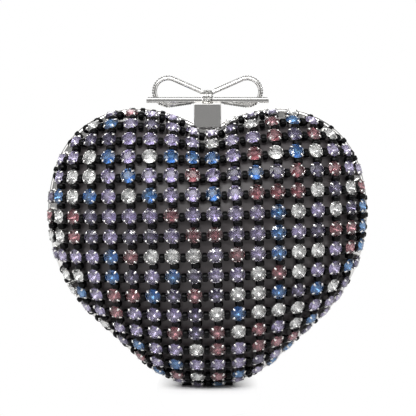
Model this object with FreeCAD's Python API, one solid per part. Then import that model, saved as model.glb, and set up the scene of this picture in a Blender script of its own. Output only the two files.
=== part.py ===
import FreeCAD, Part
import functools
import math
import os
import random

Vector = FreeCAD.Vector

# Heart outline at the satin: tangent arcs of the right half, from the tip to the cleft
TIP_RADIUS = 43.2
TIP_CENTRE_Z = 47.8
SIDE_RADIUS = 63.0
SIDE_CENTRE_X = 7.2
SIDE_CENTRE_Z = 81.5
LOBE_RADIUS = 35.2
LOBE_START_DEG = 19.0
INNER_RADIUS = 52.0
CLEFT_RADIUS = 15.8

# Puffed half
DOME_DEPTH = 35.0
DOME_POWER = 1.9
DOME_CENTRE_Z = 69.0
DOME_STEPS = 9
DOME_CAP_SHARE = 0.94

# Layers of a half, from the outside in
SATIN_THICK = 0.6
SHELL_THICK = 1.8
LINING_THICK = 1.0
GLUE_GAP = 0.1

# Rim frames
SEAM_GAP = 0.2
FRAME_THICK = 2.1
FRAME_PROUD = 4.2
FRAME_INSIDE = 4.8
FRAME_ROUND = 1.5
SEAM_ROUND = 0.4

# Net of stones
NET_GAP = 0.4
ROW_PITCH = 9.6
COLUMN_PITCH = 9.12
NET_SEED_X = 3.0
NET_SEED_Z = 82.6
ROW_RISE_SHARE = 0.032
COLUMN_LEAN_SHARE = -0.026
NET_REACH = 12
RIM_CLEARANCE = 0.25
EDGE_PITCH_SHARES = (0.95, 0.88, 0.81, 0.75)
RIM_BEAD_STEPS = 360

# Cup setting and its stone
CUP_BASE_RADIUS = 2.3
CUP_RADIUS = 3.25
CUP_LIP = 0.35
CUP_HEIGHT = 3.4
PRONG_COUNT = 4
PRONG_WIDTH = 0.9
PRONG_RISE = 0.35
PRONG_BULGE = 0.22
PRONG_LIFT = 0.16
PRONG_THICK = 0.42
STONE_RADIUS = 2.97
STONE_SEAT = 0.05
STONE_SIDES = 8
TABLE_RADIUS = 1.75
CROWN_HEIGHT = 1.1
PAVILION_DEPTH = 2.3
BASE_BAND = 1.5

# Beads and thread
BEAD_RADIUS = 2.1
BEAD_LENGTH = 2.3
BEAD_END_RADIUS = 1.45
BEAD_HOLE_RADIUS = 0.55
BEAD_CLEARANCE = 0.15
THREAD_RADIUS = 0.3
THREAD_LENGTH = 2.7

# Hinge at the tip
HINGE_LENGTH = 24.0
HINGE_RADIUS = 2.0
HINGE_PIN_RADIUS = 0.8
HINGE_KNUCKLES = 5
KNUCKLE_GAP = 0.2
LEAF_THICK = 0.75
LEAF_HEIGHT = 4.0
LEAF_POCKET_GAP = 0.06
SWING_CLEARANCE = 0.35
RUNNING_CLEARANCE = 0.05
FIXED_CLEARANCE = 0.02

# Clasp cap, bracket, pin and catch
CAP_WIDTH = 12.6
CAP_DEPTH = 9.0
CAP_RISE = 4.0
CAP_HEIGHT = 11.2
CAP_WALL = 1.2
CAP_ROOF = 2.0
CAP_ROUND = 0.35
CAP_GAP = 0.38
CAP_REAR_OPENING = 4.2
CAP_REAR_STEP = 4.6
PIVOT_RISE = 2.6
PIVOT_SETBACK = 1.15
CLASP_PIN_RADIUS = 0.7
BRACKET_WIDTH = 8.0
BRACKET_THICK = 1.9
BRACKET_HEAD_RADIUS = 1.6
CATCH_WIDTH = 6.0
CATCH_THICK = 0.5
CATCH_SETBACK = 0.8
CATCH_HOOK = 1.6
CATCH_LIFT = 0.3
RIDGE_DEPTH = 1.0
RIDGE_HEIGHT = 0.5
RIDGE_WIDTH = 7.0

# Bow
KNOT_RADIUS = 3.2
KNOT_END_RADIUS = 2.75
KNOT_WIDTH = 5.2
KNOT_SEAT = 0.3
BOW_END_X = 18.4
BOW_END_RISE = 2.7
BOW_END_RADIUS = 6.2
BOW_WIRE_RADIUS = 1.0
BOW_SET_BACK = 1.1
LOOP_TOP_RISE = 1.35
LOOP_LOW_DROP = 0.85
TAIL_REACH = 28.4
TAIL_DROP = 1.4
TAIL_DEPTH = 1.6
TAIL_HEIGHT = 2.3
TAIL_SET_FORWARD = 1.25
TAIL_ROUND = 0.6
CRYSTAL_RADIUS = 0.5
CRYSTAL_TABLE_RADIUS = 0.3
CRYSTAL_HEIGHT = 0.45
CRYSTAL_PITCH = 1.08
CRYSTAL_GAP = 0.03
CRYSTAL_SIDES = 8
CRYSTAL_LEAN_DEG = 35.0
KNOT_CRYSTAL_ROWS = 4

# Colours of the stones, as shares of the net
COLOURS = ("lavender", "tanzanite", "clear", "blue", "rose")
COLOUR_SHARES = (0.34, 0.16, 0.20, 0.16, 0.14)
FRONT_COLOUR_SEED = 11
REAR_COLOUR_SEED = 27

# Solver of the net
SETTLE_STEPS = 60
SETTLE_NEAR = 1e-7
SETTLE_STRIDE = 3.0
PROBE = 1e-4

FRAME_FACE_Y = SEAM_GAP / 2 + FRAME_THICK
BEAD_LEVEL = NET_GAP + BEAD_RADIUS
STONE_BASE_Z = CUP_HEIGHT - CUP_LIP
STONE_TOP_Z = STONE_BASE_Z + CROWN_HEIGHT
NET_EDGE_Y = FRAME_FACE_Y + RIM_CLEARANCE + CUP_RADIUS + PRONG_BULGE
EDGE_BEAD_Y = FRAME_FACE_Y + RIM_CLEARANCE + BEAD_RADIUS
HINGE_Z = HINGE_RADIUS
X_AXIS = Vector(1, 0, 0)
Y_AXIS = Vector(0, 1, 0)
Z_AXIS = Vector(0, 0, 1)


# Heart outline

@functools.lru_cache(maxsize=None)
def heart_pieces(offset):
    """Right half at an offset from the satin: (centre, radius, bend, start, end), tip to cleft."""
    tip_r, side_r = TIP_RADIUS + offset, SIDE_RADIUS + offset
    lobe_r, inner_r = LOBE_RADIUS + offset, INNER_RADIUS + offset
    cleft_r = CLEFT_RADIUS - offset
    lobe_turn = math.radians(LOBE_START_DEG)
    tip = (0, TIP_CENTRE_Z)
    side = (SIDE_CENTRE_X, SIDE_CENTRE_Z)
    lobe_out = side_r - lobe_r
    lobe = (side[0] + lobe_out * math.cos(lobe_turn), side[1] + lobe_out * math.sin(lobe_turn))
    inner = (lobe[0], lobe[1] + lobe_r - inner_r)
    cleft = (0, inner[1] + math.sqrt((inner_r + cleft_r) ** 2 - inner[0] ** 2))
    span = math.hypot(side[0] - tip[0], side[1] - tip[1])
    turn = math.atan2(side[1] - tip[1], side[0] - tip[0]) - math.acos((tip_r - side_r) / span)
    tip_end = (tip[0] + tip_r * math.cos(turn), tip[1] + tip_r * math.sin(turn))
    side_start = (side[0] + side_r * math.cos(turn), side[1] + side_r * math.sin(turn))
    side_end = (side[0] + side_r * math.cos(lobe_turn), side[1] + side_r * math.sin(lobe_turn))
    lobe_end = (lobe[0], lobe[1] + lobe_r)
    part = inner_r / (inner_r + cleft_r)
    inner_end = (inner[0] * (1 - part), inner[1] + (cleft[1] - inner[1]) * part)
    return (
        (tip, tip_r, 1, (0, tip[1] - tip_r), tip_end),
        (None, None, 0, tip_end, side_start),
        (side, side_r, 1, side_start, side_end),
        (lobe, lobe_r, 1, side_end, lobe_end),
        (inner, inner_r, 1, lobe_end, inner_end),
        (cleft, cleft_r, -1, inner_end, (0, cleft[1] - cleft_r)),
    )


def edge_distance(angle, offset):
    """Distance from the dome centre to the outline, at an angle from straight down."""
    ux, uz = math.sin(angle), -math.cos(angle)
    for centre, radius, bend, start, end in heart_pieces(offset):
        if angle > math.atan2(end[0], DOME_CENTRE_Z - end[1]) and bend != -1:
            continue
        if centre is None:
            run_x, run_z = end[0] - start[0], end[1] - start[1]
            return (start[0] * run_z - (start[1] - DOME_CENTRE_Z) * run_x) / (ux * run_z - uz * run_x)
        low_z = centre[1] - DOME_CENTRE_Z
        toward = ux * centre[0] + uz * low_z
        rest = toward ** 2 - centre[0] ** 2 - low_z ** 2 + radius ** 2
        return toward + bend * math.sqrt(max(rest, 0))


def cleft_height(offset):
    """Height of the lowest point of the cleft."""
    return heart_pieces(offset)[-1][-1][1]


def heart_wire(offset, scale, y):
    """Closed outline in the plane y, scaled about the dome centre."""
    def spot(point, mirror):
        return Vector(mirror * point[0] * scale, y, DOME_CENTRE_Z + (point[1] - DOME_CENTRE_Z) * scale)

    def arc(centre, radius, start, end):
        middle = spot(centre, 1) if centre[0] >= 0 else spot((-centre[0], centre[1]), -1)
        across = (start - middle) + (end - middle)
        return Part.Arc(start, middle + across.normalize() * (radius * scale), end).toShape()

    pieces = heart_pieces(offset)
    tip, cleft = pieces[0], pieces[-1]
    edges = [arc(tip[0], tip[1], spot(tip[4], -1), spot(tip[4], 1))]
    for centre, radius, bend, start, end in pieces[1:-1]:
        if centre is None:
            edges.append(Part.makeLine(spot(start, 1), spot(end, 1)))
        else:
            edges.append(arc(centre, radius, spot(start, 1), spot(end, 1)))
    edges.append(arc(cleft[0], cleft[1], spot(cleft[3], 1), spot(cleft[3], -1)))
    for centre, radius, bend, start, end in reversed(pieces[1:-1]):
        if centre is None:
            edges.append(Part.makeLine(spot(end, -1), spot(start, -1)))
        else:
            edges.append(arc((-centre[0], centre[1]), radius, spot(end, -1), spot(start, -1)))
    return Part.Wire(edges)


CAP_BASE_Z = cleft_height(0) + CAP_RISE
CAP_TOP_Z = CAP_BASE_Z + CAP_HEIGHT
PIVOT = Vector(0, PIVOT_SETBACK, CAP_BASE_Z + PIVOT_RISE)
NOTCH_Z = CAP_BASE_Z - CAP_GAP


# Puffed surface

def level(point, offset):
    """Below zero inside the puffed surface, above zero outside it."""
    x, z = point.x, point.z - DOME_CENTRE_Z
    reach = math.hypot(x, z)
    spread = reach / edge_distance(math.atan2(abs(x), -z), offset) if reach > PROBE else 0
    depth = (abs(point.y) - FRAME_FACE_Y) / (DOME_DEPTH + offset)
    return spread ** DOME_POWER + abs(depth) ** DOME_POWER - 1


def slope(point, offset):
    """Steepest rise of the level at a point."""
    steps = (X_AXIS * PROBE, Y_AXIS * PROBE, Z_AXIS * PROBE)
    return Vector(*[(level(point + s, offset) - level(point - s, offset)) / (2 * PROBE) for s in steps])


def outward(point, offset):
    """Unit normal of the puffed surface."""
    return slope(point, offset).normalize()


def on_surface(offset):
    """Rule: the point lies on the puffed surface."""
    def rule(point):
        rise = slope(point, offset)
        return level(point, offset) / rise.Length, rise * (1 / rise.Length)
    return rule


def at_reach(centre, reach):
    """Rule: the point lies a fixed distance from another point."""
    def rule(point):
        away = point - centre
        return away.Length - reach, away * (1 / away.Length)
    return rule


def on_plane(origin, normal):
    """Rule: the point lies in a plane."""
    unit = Vector(normal).normalize()
    return lambda point: ((point - origin).dot(unit), unit)


def settle(guess, rules):
    """Point that meets three rules, or None."""
    point = Vector(guess)
    for step in range(SETTLE_STEPS):
        (miss_a, a), (miss_b, b), (miss_c, c) = [rule(point) for rule in rules]
        box = a.dot(b.cross(c))
        if abs(box) < PROBE:
            return None
        move = (b.cross(c) * miss_a + c.cross(a) * miss_b + a.cross(b) * miss_c) * (-1 / box)
        if move.Length > SETTLE_STRIDE:
            move = move * (SETTLE_STRIDE / move.Length)
        point = point + move
        if move.Length < SETTLE_NEAR:
            return point
    return None


# Draped net

def clear_of_clasp(point, size):
    """True when a piece of this half size stays out of the clasp's room."""
    beside = abs(point.x) > CAP_WIDTH / 2 + size or abs(point.y) > CAP_DEPTH / 2 + size
    return beside or point.z < TIP_CENTRE_Z


def fits_net(point):
    """True when a setting at the point keeps clear of the rim and the clasp."""
    if point is None or point.y > -NET_EDGE_Y:
        return False
    return clear_of_clasp(point, CUP_RADIUS + PRONG_BULGE + NET_GAP)


def follow(start, before, reach):
    """Point straight on along the surface from one point past the next."""
    ahead = start - before
    plane = on_plane(start, outward(start, BEAD_LEVEL).cross(ahead))
    rules = [on_surface(BEAD_LEVEL), at_reach(start, reach), plane]
    return settle(start + ahead * (reach / ahead.Length), rules)


def walk(points, step, pitch, plane):
    """Lay one straight line of the net out from the seed."""
    spot = points[(0, 0)]
    ahead = Vector(step[0], 0, step[1]) * pitch
    for count in range(1, NET_REACH):
        found = settle(spot + ahead, [on_surface(BEAD_LEVEL), at_reach(spot, pitch), plane])
        if not fits_net(found):
            return
        points[(step[0] * count, step[1] * count)] = found
        ahead, spot = found - spot, found


def fill_corner(points, turn_x, turn_z):
    """Lay one quarter of the net, each setting from its two neighbours."""
    for i in range(1, NET_REACH):
        for j in range(1, NET_REACH):
            col, row = turn_x * i, turn_z * j
            beside = points.get((col - turn_x, row))
            under = points.get((col, row - turn_z))
            corner = points.get((col - turn_x, row - turn_z))
            farther = points.get((col - 2 * turn_x, row))
            lower = points.get((col, row - 2 * turn_z))
            found = None
            if beside and under and corner:
                rules = [on_surface(BEAD_LEVEL), at_reach(beside, ROW_PITCH), at_reach(under, COLUMN_PITCH)]
                found = settle(beside + under - corner, rules)
            elif under and lower:
                found = follow(under, lower, COLUMN_PITCH)
            elif beside and farther:
                found = follow(beside, farther, ROW_PITCH)
            if fits_net(found) and apart(found, points.values(), 2 * CUP_RADIUS + BEAD_CLEARANCE):
                points[(col, row)] = found


def apart(point, others, least):
    """True when a point is at least this far from all the others."""
    return all((point - other).Length >= least for other in others)


def drape_net():
    """Setting centres on the front half, keyed by column and row."""
    seed = Vector(NET_SEED_X, 0, NET_SEED_Z)
    start = Vector(NET_SEED_X, -DOME_DEPTH, NET_SEED_Z)
    rules = [on_surface(BEAD_LEVEL), on_plane(seed, X_AXIS), on_plane(seed, Z_AXIS)]
    points = {(0, 0): settle(start, rules)}
    row_plane = on_plane(seed, Vector(-ROW_RISE_SHARE, 0, 1))
    column_plane = on_plane(seed, Vector(1, 0, -COLUMN_LEAN_SHARE))
    for turn in (1, -1):
        walk(points, (turn, 0), ROW_PITCH, row_plane)
        walk(points, (0, turn), COLUMN_PITCH, column_plane)
    for turn_x in (1, -1):
        for turn_z in (1, -1):
            fill_corner(points, turn_x, turn_z)
    return points


def edge_points(points):
    """Settings drawn in closer than the pitch, to fill the border of the net."""
    extra = {}
    steps = ((1, 0), (-1, 0), (0, 1), (0, -1))
    for (col, row), (step_x, step_z) in [(key, step) for key in sorted(points) for step in steps]:
        pitch = ROW_PITCH if step_x else COLUMN_PITCH
        key = (col + step_x, row + step_z)
        before = points.get((col - step_x, row - step_z))
        if key in points or key in extra or before is None:
            continue
        for share in EDGE_PITCH_SHARES:
            found = follow(points[(col, row)], before, pitch * share)
            taken = list(points.values()) + list(extra.values())
            if fits_net(found) and apart(found, taken, 2 * CUP_RADIUS + BEAD_CLEARANCE):
                extra[key] = found
                break
    return extra


def seat_of(points, key):
    """Origin, row direction and normal of the setting at a net place."""
    col, row = key
    here = points[key]
    normal = outward(here, BEAD_LEVEL)
    along = points.get((col + 1, row), here) - points.get((col - 1, row), here)
    if along.Length == 0:
        along = X_AXIS
    along = (along - normal * along.dot(normal)).normalize()
    return here - normal * BEAD_RADIUS, along, normal


def bead_on(middle, ahead):
    """Origin, direction and normal of a bead whose hole runs along the link."""
    normal = outward(middle, BEAD_LEVEL)
    ahead = (ahead - normal * ahead.dot(normal)).normalize()
    rules = [on_surface(BEAD_LEVEL), on_plane(middle, ahead), on_plane(middle, normal.cross(ahead))]
    return settle(middle, rules), ahead, normal


def link_beads(points, extra, step):
    """Beads between neighbours along one direction, and beads beyond the last setting."""
    pitch = ROW_PITCH if step[0] else COLUMN_PITCH
    beads = []
    for key, here in points.items():
        after = points.get((key[0] + step[0], key[1] + step[1]))
        before = points.get((key[0] - step[0], key[1] - step[1]))
        if after:
            beads.append(bead_on((here + after) * 0.5, after - here))
        for near, far in ((before, after), (after, before)):
            if near is None or far is not None:
                continue
            edge = follow(here, near, pitch / 2)
            if edge is None or edge.y > -EDGE_BEAD_Y or not clear_of_clasp(edge, BEAD_RADIUS + NET_GAP):
                continue
            others = [p for p in list(points.values()) + list(extra.values()) if p is not here]
            if apart(edge, others, CUP_RADIUS + BEAD_RADIUS + BEAD_CLEARANCE):
                beads.append(bead_on(edge, edge - here))
    return beads


def without_crowding(beads, taken):
    """Beads that keep clear of the beads already strung."""
    kept = []
    for bead in beads:
        if apart(bead[0], [b[0] for b in taken + kept], 2 * BEAD_RADIUS + BEAD_CLEARANCE):
            kept.append(bead)
    return kept


def rim_spot(turn):
    """Place on the net's level beside the rim frame, at an angle round the heart from its tip, or None."""
    way = Vector(math.sin(turn), 0, -math.cos(turn))
    middle = Vector(0, -EDGE_BEAD_Y, DOME_CENTRE_Z)
    start = middle + way * edge_distance(abs(turn), BEAD_LEVEL)
    rules = [on_surface(BEAD_LEVEL), on_plane(middle, Y_AXIS), on_plane(middle, way.cross(Y_AXIS))]
    return settle(start, rules)


def bead_clears(bead, others, size):
    """True when a bead keeps clear of round neighbours of this radius."""
    spot, ahead, normal = bead
    for other in others:
        away = other - spot
        along = abs(away.dot(ahead))
        across = math.sqrt(max(away.Length ** 2 - along ** 2, 0))
        gap = math.hypot(max(along - BEAD_LENGTH / 2, 0), max(across - BEAD_RADIUS, 0))
        if gap < size + BEAD_CLEARANCE:
            return False
    return True


def rim_beads(points, taken):
    """Beads sewn beside the rim frame where the settings and the other beads leave room."""
    beads = []
    for step in range(RIM_BEAD_STEPS):
        spot = rim_spot((2 * step / RIM_BEAD_STEPS - 1) * math.pi)
        if spot is None or not clear_of_clasp(spot, BEAD_RADIUS + NET_GAP):
            continue
        bead = bead_on(spot, outward(spot, BEAD_LEVEL).cross(Y_AXIS))
        strung = [other[0] for other in taken + beads]
        if bead_clears(bead, points.values(), CUP_RADIUS + PRONG_BULGE) and bead_clears(bead, strung, BEAD_RADIUS):
            beads.append(bead)
    return beads


# Solids of the net

def turned(outline, axis):
    """Solid of revolution of a closed outline about an axis through the origin."""
    return Part.Face(outline).revolve(Vector(0, 0, 0), axis, 360)


def setting_solid():
    """Cup with a conical seat and four prongs, base centre at the origin."""
    seat_radius = STONE_RADIUS + STONE_SEAT
    slope_share = PAVILION_DEPTH / STONE_RADIUS
    corners = [
        Vector(0, 0, 0),
        Vector(CUP_BASE_RADIUS, 0, 0),
        Vector(CUP_RADIUS, 0, STONE_BASE_Z),
        Vector(CUP_RADIUS, 0, CUP_HEIGHT),
        Vector(seat_radius, 0, CUP_HEIGHT),
        Vector(seat_radius, 0, STONE_BASE_Z - STONE_SEAT),
        Vector(0, 0, STONE_BASE_Z - STONE_SEAT - seat_radius * slope_share),
        Vector(0, 0, 0),
    ]
    cup = turned(Part.makePolygon(corners), Z_AXIS)
    prongs = [prong_solid((k + 0.5) * 360 / PRONG_COUNT) for k in range(PRONG_COUNT)]
    return cup.multiFuse(prongs).removeSplitter()


def prong_solid(turn_deg):
    """Claw that rises from the lip and leans over the crown."""
    outer = CUP_RADIUS + PRONG_BULGE
    seat_radius = STONE_RADIUS + STONE_SEAT
    tip_radius = (STONE_RADIUS + TABLE_RADIUS) / 2
    tip_z = STONE_BASE_Z + CROWN_HEIGHT / 2 + PRONG_LIFT
    top_z = STONE_TOP_Z + PRONG_LIFT
    corners = [
        Vector(seat_radius, 0, CUP_HEIGHT),
        Vector(CUP_RADIUS, 0, CUP_HEIGHT),
        Vector(outer, 0, CUP_HEIGHT + PRONG_RISE),
        Vector(outer - PRONG_THICK, 0, top_z),
        Vector(tip_radius, 0, top_z),
        Vector(tip_radius, 0, tip_z),
        Vector(seat_radius, 0, CUP_HEIGHT),
    ]
    claw = Part.Face(Part.makePolygon(corners)).extrude(Y_AXIS * PRONG_WIDTH)
    claw.translate(Y_AXIS * (-PRONG_WIDTH / 2))
    claw.rotate(Vector(0, 0, 0), Z_AXIS, turn_deg)
    return claw


def ring_of(radius, z, sides, start):
    """Corners of a regular polygon at a height."""
    turns = [(k + start) * 2 * math.pi / sides for k in range(sides)]
    return [Vector(radius * math.cos(t), radius * math.sin(t), z) for t in turns]


def faceted(rings, foot):
    """Solid from a stack of polygons, closed by a flat top and by a point or a flat foot."""
    def face(*corners):
        return Part.Face(Part.makePolygon(list(corners) + [corners[0]]))

    faces = [face(*rings[-1])]
    sides = len(rings[0])
    for low, high in zip(rings, rings[1:]):
        for k in range(sides):
            after = (k + 1) % sides
            faces.append(face(low[k], low[after], high[after], high[k]))
    if foot is None:
        faces.append(face(*rings[0]))
    else:
        faces.extend(face(foot, rings[0][k], rings[0][(k + 1) % sides]) for k in range(sides))
    return Part.Solid(Part.Shell(faces))


def stone_solid():
    """Faceted round stone in its place above the cup's base centre."""
    girdle = ring_of(STONE_RADIUS, STONE_BASE_Z, STONE_SIDES, 0)
    table = ring_of(TABLE_RADIUS, STONE_TOP_Z, STONE_SIDES, 0)
    return faceted([girdle, table], Vector(0, 0, STONE_BASE_Z - PAVILION_DEPTH))


def bead_solid():
    """Rounded bead with its hole along X."""
    return barrel_solid(BEAD_LENGTH / 2, BEAD_HOLE_RADIUS, BEAD_END_RADIUS, BEAD_RADIUS)


def barrel_solid(half, hole, end, middle):
    """Barrel along X with a hole, or none, and a bulging side."""
    corners = [Vector(-half, hole, 0), Vector(-half, end, 0), Vector(half, end, 0), Vector(half, hole, 0)]
    bulge = Part.Arc(corners[1], Vector(0, middle, 0), corners[2]).toShape()
    ends = [Part.makeLine(corners[0], corners[1]), bulge, Part.makeLine(corners[2], corners[3])]
    return turned(Part.Wire(ends + [Part.makeLine(corners[3], corners[0])]), X_AXIS)


def thread_solid():
    """Length of thread through one bead, along X."""
    return Part.makeCylinder(THREAD_RADIUS, THREAD_LENGTH, X_AXIS * (-THREAD_LENGTH / 2), X_AXIS)


def placed(solid, spot, side):
    """Copy of a solid at a place of the net, on the front (-1) or the rear (1) half."""
    origin, along, normal = [Vector(v.x, -side * v.y, v.z) for v in spot]
    across = normal.cross(along)
    copy = solid.copy()
    copy.Placement = FreeCAD.Placement(FreeCAD.Matrix(
        along.x, across.x, normal.x, origin.x,
        along.y, across.y, normal.y, origin.y,
        along.z, across.z, normal.z, origin.z,
        0, 0, 0, 1))
    return copy


def save_net(name, side, seed):
    """Settings, stones, beads and thread of one half."""
    points = drape_net()
    extra = edge_points(points)
    row_beads = link_beads(points, extra, (1, 0))
    column_beads = without_crowding(link_beads(points, extra, (0, 1)), row_beads)
    points.update(extra)
    edge_beads = rim_beads(points, row_beads + column_beads)
    keys = sorted(points)
    seats = {key: seat_of(points, key) for key in keys}
    setting, stone, bead, thread = setting_solid(), stone_solid(), bead_solid(), thread_solid()
    base_z = min(seat[0].z for seat in seats.values()) + BASE_BAND
    base_keys = [key for key in keys if seats[key][0].z < base_z]
    save(name + "_base_settings", [placed(setting, seats[key], side) for key in base_keys])
    save(name + "_settings", [placed(setting, seats[key], side) for key in keys if key not in base_keys])
    pick = random.Random(seed)
    chosen = {key: pick.choices(COLOURS, COLOUR_SHARES)[0] for key in keys}
    for colour in COLOURS:
        same = [placed(stone, seats[key], side) for key in keys if chosen[key] == colour]
        save(name + "_stones_" + colour, same)
    save(name + "_row_beads", [placed(bead, spot, side) for spot in row_beads])
    save(name + "_column_beads", [placed(bead, spot, side) for spot in column_beads])
    save(name + "_rim_beads", [placed(bead, spot, side) for spot in edge_beads])
    strung = row_beads + column_beads + edge_beads
    save(name + "_net_thread", [placed(thread, spot, side) for spot in strung])


# Layers and frames

def dome_solid(offset):
    """Front half as a full puffed solid at an offset from the satin."""
    wires = []
    for step in range(DOME_STEPS + 1):
        turn = DOME_CAP_SHARE * step / DOME_STEPS * math.pi / 2
        scale = math.cos(turn) ** (2 / DOME_POWER)
        depth = math.sin(turn) ** (2 / DOME_POWER) * (DOME_DEPTH + offset)
        wires.append(heart_wire(offset, scale, -FRAME_FACE_Y - depth))
    return Part.makeLoft(wires, True, False)


def layer(outside, thick):
    """Bowl between two offsets of the puffed surface."""
    return dome_solid(-outside).cut(dome_solid(-outside - thick))


def heart_slab(offset, near_y, far_y):
    """Flat heart between two planes in front of the seam."""
    return Part.Face(heart_wire(offset, 1, -near_y)).extrude(Y_AXIS * (near_y - far_y))


def middle_box(width, depth, low_z, high_z):
    """Box between two heights, centred on the seam."""
    return Part.makeBox(width, depth, high_z - low_z, Vector(-width / 2, -depth / 2, low_z))


def round_rim(slab, level_y, radius):
    """Slab with its outline edge at one distance from the seam rounded."""
    flat = [edge for edge in slab.Edges if edge.BoundBox.YLength < PROBE]
    around = [edge for edge in flat if abs(edge.Vertexes[0].Y + level_y) < PROBE]
    return slab.makeFillet(radius, around)


def frame_ring():
    """Front rim frame with a notch for the clasp, room for the hinge barrel and a pocket for its leaf."""
    half_gap = SEAM_GAP / 2
    ring = round_rim(heart_slab(FRAME_PROUD, half_gap, FRAME_FACE_Y), FRAME_FACE_Y, FRAME_ROUND)
    ring = round_rim(ring, half_gap, SEAM_ROUND)
    ring = ring.cut(heart_slab(-FRAME_INSIDE, 0, 2 * FRAME_FACE_Y))
    room_width = HINGE_LENGTH + 2 * SWING_CLEARANCE
    leaf_z = HINGE_Z + HINGE_RADIUS + SWING_CLEARANCE
    pocket_depth = SEAM_GAP + 2 * (LEAF_THICK + LEAF_POCKET_GAP)
    room = middle_box(room_width, 4 * FRAME_FACE_Y, 0, leaf_z)
    pocket = middle_box(room_width, pocket_depth, 0, leaf_z + LEAF_HEIGHT + LEAF_POCKET_GAP)
    notch = middle_box(CAP_WIDTH + 2 * CAP_GAP, 4 * FRAME_FACE_Y, NOTCH_Z, CAP_TOP_Z)
    return ring.cut(room).cut(pocket).cut(notch)


# Hinge

def knuckle_span(index):
    """Start and length of one knuckle along X."""
    pitch = HINGE_LENGTH / HINGE_KNUCKLES
    return -HINGE_LENGTH / 2 + index * pitch + KNUCKLE_GAP / 2, pitch - KNUCKLE_GAP


def hinge_leaf(indices, hole_clearance):
    """Front-side leaf plate with its knuckles."""
    plate_z = HINGE_Z + HINGE_RADIUS + SWING_CLEARANCE
    plate_y = -SEAM_GAP / 2 - LEAF_THICK
    leaf = Part.makeBox(HINGE_LENGTH, LEAF_THICK, LEAF_HEIGHT, Vector(-HINGE_LENGTH / 2, plate_y, plate_z))
    for index in indices:
        start, length = knuckle_span(index)
        barrel = Part.makeCylinder(HINGE_RADIUS, length, Vector(start, 0, HINGE_Z), X_AXIS)
        web = Part.makeBox(length, LEAF_THICK, plate_z + LEAF_HEIGHT - HINGE_Z, Vector(start, plate_y, HINGE_Z))
        leaf = leaf.fuse([barrel, web])
    hole_start = Vector(-HINGE_LENGTH / 2, 0, HINGE_Z)
    hole = Part.makeCylinder(HINGE_PIN_RADIUS + hole_clearance, HINGE_LENGTH, hole_start, X_AXIS)
    return leaf.cut(hole).removeSplitter()


def hinge_pin():
    """Pin through all the knuckles."""
    length = HINGE_LENGTH - KNUCKLE_GAP
    return Part.makeCylinder(HINGE_PIN_RADIUS, length, Vector(-length / 2, 0, HINGE_Z), X_AXIS)


# Clasp

def cross_bar(corners, width):
    """Profile in the YZ plane drawn out to a width across X."""
    points = [Vector(-width / 2, y, z) for y, z in corners]
    return Part.Face(Part.makePolygon(points + [points[0]])).extrude(X_AXIS * width)


def pivot_rod(radius, length):
    """Cylinder about the clasp's pivot line."""
    return Part.makeCylinder(radius, length, PIVOT - X_AXIS * (length / 2), X_AXIS)


def clasp_cap():
    """Polished cap, hollow and open below and at the lower rear, with its catch ridge."""
    front, rear = -CAP_DEPTH / 2, CAP_DEPTH / 2
    profile = [
        (front, CAP_BASE_Z),
        (front, CAP_TOP_Z),
        (rear, CAP_TOP_Z),
        (rear, CAP_BASE_Z + CAP_REAR_OPENING),
        (rear - CAP_REAR_STEP, CAP_BASE_Z),
    ]
    body = cross_bar(profile, CAP_WIDTH)
    body = body.makeFillet(CAP_ROUND, body.Edges)
    inside = CAP_WIDTH - 2 * CAP_WALL
    corner = Vector(-inside / 2, front + CAP_WALL, CAP_BASE_Z - CAP_WALL)
    body = body.cut(Part.makeBox(inside, CAP_DEPTH - 2 * CAP_WALL, CAP_HEIGHT + CAP_WALL - CAP_ROOF, corner))
    ridge_base = Vector(-RIDGE_WIDTH / 2, front + CAP_WALL, CAP_BASE_Z + CAP_ROUND)
    body = body.fuse(Part.makeBox(RIDGE_WIDTH, RIDGE_DEPTH, RIDGE_HEIGHT, ridge_base))
    return body.cut(pivot_rod(CLASP_PIN_RADIUS + RUNNING_CLEARANCE, 2 * CAP_WIDTH)).removeSplitter()


def clasp_bracket():
    """Plate on the rear rim that carries the clasp pin."""
    corner = Vector(-BRACKET_WIDTH / 2, PIVOT.y - BRACKET_THICK / 2, NOTCH_Z)
    plate = Part.makeBox(BRACKET_WIDTH, BRACKET_THICK, PIVOT.z - NOTCH_Z, corner)
    plate = plate.fuse(pivot_rod(BRACKET_HEAD_RADIUS, BRACKET_WIDTH))
    return plate.cut(pivot_rod(CLASP_PIN_RADIUS + FIXED_CLEARANCE, 2 * BRACKET_WIDTH)).removeSplitter()


def clasp_pin():
    """Pin through the cap's sides and the bracket."""
    return pivot_rod(CLASP_PIN_RADIUS, CAP_WIDTH - 2 * CAP_ROUND)


def catch_spring():
    """Spring leaf on the front rim, hooked over the cap's ridge."""
    hook_z = CAP_BASE_Z + CAP_ROUND + RIDGE_HEIGHT + CATCH_LIFT
    top_z = hook_z + CATCH_THICK
    back = -CATCH_SETBACK
    profile = [
        (back, NOTCH_Z),
        (back, top_z),
        (back - CATCH_THICK - CATCH_HOOK, top_z),
        (back - CATCH_THICK - CATCH_HOOK, hook_z),
        (back - CATCH_THICK, hook_z),
        (back - CATCH_THICK, NOTCH_Z),
    ]
    return cross_bar(profile, CATCH_WIDTH)


# Bow

KNOT_CENTRE = Vector(0, 0, CAP_TOP_Z + KNOT_RADIUS - KNOT_SEAT)
BOW_END = Vector(BOW_END_X, BOW_SET_BACK, KNOT_CENTRE.z + BOW_END_RISE)


def bow_knot():
    """Barrel across the bow, flat where it sits on the cap."""
    barrel = barrel_solid(KNOT_WIDTH / 2, 0, KNOT_END_RADIUS, KNOT_RADIUS)
    barrel.translate(KNOT_CENTRE)
    return barrel.cut(middle_box(CAP_WIDTH, CAP_WIDTH, CAP_BASE_Z, CAP_TOP_Z))


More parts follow.
